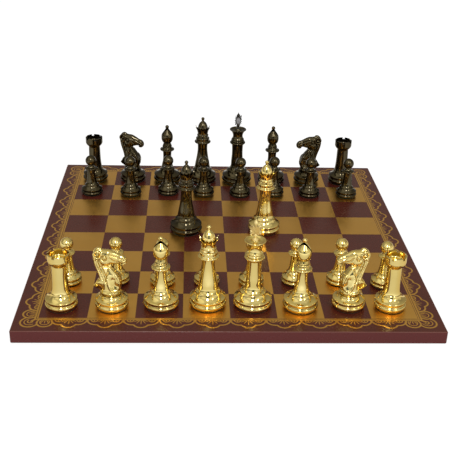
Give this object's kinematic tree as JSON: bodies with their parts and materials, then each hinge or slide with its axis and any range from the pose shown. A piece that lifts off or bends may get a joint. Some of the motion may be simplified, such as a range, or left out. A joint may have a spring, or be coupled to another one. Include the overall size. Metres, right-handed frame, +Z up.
{
  "type": "chess set with board",
  "caption": "Square leatherette chess board with gold-stamped squares and a scalloped border, carrying turned metal Staunton-pattern men in polished gold and dark finishes.",
  "frame": {"origin": "centre of the board's underside", "axes": "+Z up, +X along the ranks from the a file to the h file, +Y along the files from the gold side to the dark side"},
  "size_m": [0.452, 0.452, 0.1195],
  "materials": {
    "gold_metal": "gold plated, mirror polished",
    "dark_metal": "dark bronze plated, mirror polished",
    "felt": "dark green felt",
    "leatherette": "satin burgundy with gold foil stamping",
    "board_core": "raw fibreboard"
  },
  "bodies": {
    "board": {"board_panel": "board_core", "board_cover": "leatherette"},
    "gold_king": {"gold_king": "gold_metal", "gold_king_cross": "gold_metal", "gold_king_pad": "felt"},
    "gold_queen": {"gold_queen": "gold_metal", "gold_queen_pad": "felt"},
    "gold_spare_queen": {"gold_spare_queen": "gold_metal", "gold_spare_queen_pad": "felt"},
    "gold_bishop_1": {"gold_bishop_1": "gold_metal", "gold_bishop_1_pad": "felt"},
    "gold_bishop_2": {"gold_bishop_2": "gold_metal", "gold_bishop_2_pad": "felt"},
    "gold_knight_1": {"gold_knight_1_base": "gold_metal", "gold_knight_1_head": "gold_metal", "gold_knight_1_pad": "felt"},
    "gold_knight_2": {"gold_knight_2_base": "gold_metal", "gold_knight_2_head": "gold_metal", "gold_knight_2_pad": "felt"},
    "gold_rook_1": {"gold_rook_1": "gold_metal", "gold_rook_1_pad": "felt"},
    "gold_rook_2": {"gold_rook_2": "gold_metal", "gold_rook_2_pad": "felt"},
    "gold_pawn_1": {"gold_pawn_1": "gold_metal"},
    "gold_pawn_2": {"gold_pawn_2": "gold_metal"},
    "gold_pawn_3": {"gold_pawn_3": "gold_metal"},
    "gold_pawn_4": {"gold_pawn_4": "gold_metal"},
    "gold_pawn_5": {"gold_pawn_5": "gold_metal"},
    "gold_pawn_6": {"gold_pawn_6": "gold_metal"},
    "gold_pawn_7": {"gold_pawn_7": "gold_metal"},
    "gold_pawn_8": {"gold_pawn_8": "gold_metal"},
    "dark_king": {"dark_king": "dark_metal", "dark_king_cross": "dark_metal", "dark_king_pad": "felt"},
    "dark_queen": {"dark_queen": "dark_metal", "dark_queen_pad": "felt"},
    "dark_spare_queen": {"dark_spare_queen": "dark_metal", "dark_spare_queen_pad": "felt"},
    "dark_bishop_1": {"dark_bishop_1": "dark_metal", "dark_bishop_1_pad": "felt"},
    "dark_bishop_2": {"dark_bishop_2": "dark_metal", "dark_bishop_2_pad": "felt"},
    "dark_knight_1": {"dark_knight_1_base": "dark_metal", "dark_knight_1_head": "dark_metal", "dark_knight_1_pad": "felt"},
    "dark_knight_2": {"dark_knight_2_base": "dark_metal", "dark_knight_2_head": "dark_metal", "dark_knight_2_pad": "felt"},
    "dark_rook_1": {"dark_rook_1": "dark_metal", "dark_rook_1_pad": "felt"},
    "dark_rook_2": {"dark_rook_2": "dark_metal", "dark_rook_2_pad": "felt"},
    "dark_pawn_1": {"dark_pawn_1": "dark_metal"},
    "dark_pawn_2": {"dark_pawn_2": "dark_metal"},
    "dark_pawn_3": {"dark_pawn_3": "dark_metal"},
    "dark_pawn_4": {"dark_pawn_4": "dark_metal"},
    "dark_pawn_5": {"dark_pawn_5": "dark_metal"},
    "dark_pawn_6": {"dark_pawn_6": "dark_metal"},
    "dark_pawn_7": {"dark_pawn_7": "dark_metal"},
    "dark_pawn_8": {"dark_pawn_8": "dark_metal"}
  },
  "joints": [
    {"name": "gold_king_lift", "type": "slide", "parent": "board", "child": "gold_king", "axis": [0, 0, 1], "range_m": [0, 0.12]},
    {"name": "gold_queen_lift", "type": "slide", "parent": "board", "child": "gold_queen", "axis": [0, 0, 1], "range_m": [0, 0.12]},
    {"name": "gold_spare_queen_lift", "type": "slide", "parent": "board", "child": "gold_spare_queen", "axis": [0, 0, 1], "range_m": [0, 0.12]},
    {"name": "gold_bishop_1_lift", "type": "slide", "parent": "board", "child": "gold_bishop_1", "axis": [0, 0, 1], "range_m": [0, 0.12]},
    {"name": "gold_bishop_2_lift", "type": "slide", "parent": "board", "child": "gold_bishop_2", "axis": [0, 0, 1], "range_m": [0, 0.12]},
    {"name": "gold_knight_1_lift", "type": "slide", "parent": "board", "child": "gold_knight_1", "axis": [0, 0, 1], "range_m": [0, 0.12]},
    {"name": "gold_knight_2_lift", "type": "slide", "parent": "board", "child": "gold_knight_2", "axis": [0, 0, 1], "range_m": [0, 0.12]},
    {"name": "gold_rook_1_lift", "type": "slide", "parent": "board", "child": "gold_rook_1", "axis": [0, 0, 1], "range_m": [0, 0.12]},
    {"name": "gold_rook_2_lift", "type": "slide", "parent": "board", "child": "gold_rook_2", "axis": [0, 0, 1], "range_m": [0, 0.12]},
    {"name": "gold_pawn_1_lift", "type": "slide", "parent": "board", "child": "gold_pawn_1", "axis": [0, 0, 1], "range_m": [0, 0.12]},
    {"name": "gold_pawn_2_lift", "type": "slide", "parent": "board", "child": "gold_pawn_2", "axis": [0, 0, 1], "range_m": [0, 0.12]},
    {"name": "gold_pawn_3_lift", "type": "slide", "parent": "board", "child": "gold_pawn_3", "axis": [0, 0, 1], "range_m": [0, 0.12]},
    {"name": "gold_pawn_4_lift", "type": "slide", "parent": "board", "child": "gold_pawn_4", "axis": [0, 0, 1], "range_m": [0, 0.12]},
    {"name": "gold_pawn_5_lift", "type": "slide", "parent": "board", "child": "gold_pawn_5", "axis": [0, 0, 1], "range_m": [0, 0.12]},
    {"name": "gold_pawn_6_lift", "type": "slide", "parent": "board", "child": "gold_pawn_6", "axis": [0, 0, 1], "range_m": [0, 0.12]},
    {"name": "gold_pawn_7_lift", "type": "slide", "parent": "board", "child": "gold_pawn_7", "axis": [0, 0, 1], "range_m": [0, 0.12]},
    {"name": "gold_pawn_8_lift", "type": "slide", "parent": "board", "child": "gold_pawn_8", "axis": [0, 0, 1], "range_m": [0, 0.12]},
    {"name": "dark_king_lift", "type": "slide", "parent": "board", "child": "dark_king", "axis": [0, 0, 1], "range_m": [0, 0.12]},
    {"name": "dark_queen_lift", "type": "slide", "parent": "board", "child": "dark_queen", "axis": [0, 0, 1], "range_m": [0, 0.12]},
    {"name": "dark_spare_queen_lift", "type": "slide", "parent": "board", "child": "dark_spare_queen", "axis": [0, 0, 1], "range_m": [0, 0.12]},
    {"name": "dark_bishop_1_lift", "type": "slide", "parent": "board", "child": "dark_bishop_1", "axis": [0, 0, 1], "range_m": [0, 0.12]},
    {"name": "dark_bishop_2_lift", "type": "slide", "parent": "board", "child": "dark_bishop_2", "axis": [0, 0, 1], "range_m": [0, 0.12]},
    {"name": "dark_knight_1_lift", "type": "slide", "parent": "board", "child": "dark_knight_1", "axis": [0, 0, 1], "range_m": [0, 0.12]},
    {"name": "dark_knight_2_lift", "type": "slide", "parent": "board", "child": "dark_knight_2", "axis": [0, 0, 1], "range_m": [0, 0.12]},
    {"name": "dark_rook_1_lift", "type": "slide", "parent": "board", "child": "dark_rook_1", "axis": [0, 0, 1], "range_m": [0, 0.12]},
    {"name": "dark_rook_2_lift", "type": "slide", "parent": "board", "child": "dark_rook_2", "axis": [0, 0, 1], "range_m": [0, 0.12]},
    {"name": "dark_pawn_1_lift", "type": "slide", "parent": "board", "child": "dark_pawn_1", "axis": [0, 0, 1], "range_m": [0, 0.12]},
    {"name": "dark_pawn_2_lift", "type": "slide", "parent": "board", "child": "dark_pawn_2", "axis": [0, 0, 1], "range_m": [0, 0.12]},
    {"name": "dark_pawn_3_lift", "type": "slide", "parent": "board", "child": "dark_pawn_3", "axis": [0, 0, 1], "range_m": [0, 0.12]},
    {"name": "dark_pawn_4_lift", "type": "slide", "parent": "board", "child": "dark_pawn_4", "axis": [0, 0, 1], "range_m": [0, 0.12]},
    {"name": "dark_pawn_5_lift", "type": "slide", "parent": "board", "child": "dark_pawn_5", "axis": [0, 0, 1], "range_m": [0, 0.12]},
    {"name": "dark_pawn_6_lift", "type": "slide", "parent": "board", "child": "dark_pawn_6", "axis": [0, 0, 1], "range_m": [0, 0.12]},
    {"name": "dark_pawn_7_lift", "type": "slide", "parent": "board", "child": "dark_pawn_7", "axis": [0, 0, 1], "range_m": [0, 0.12]},
    {"name": "dark_pawn_8_lift", "type": "slide", "parent": "board", "child": "dark_pawn_8", "axis": [0, 0, 1], "range_m": [0, 0.12]}
  ]
}
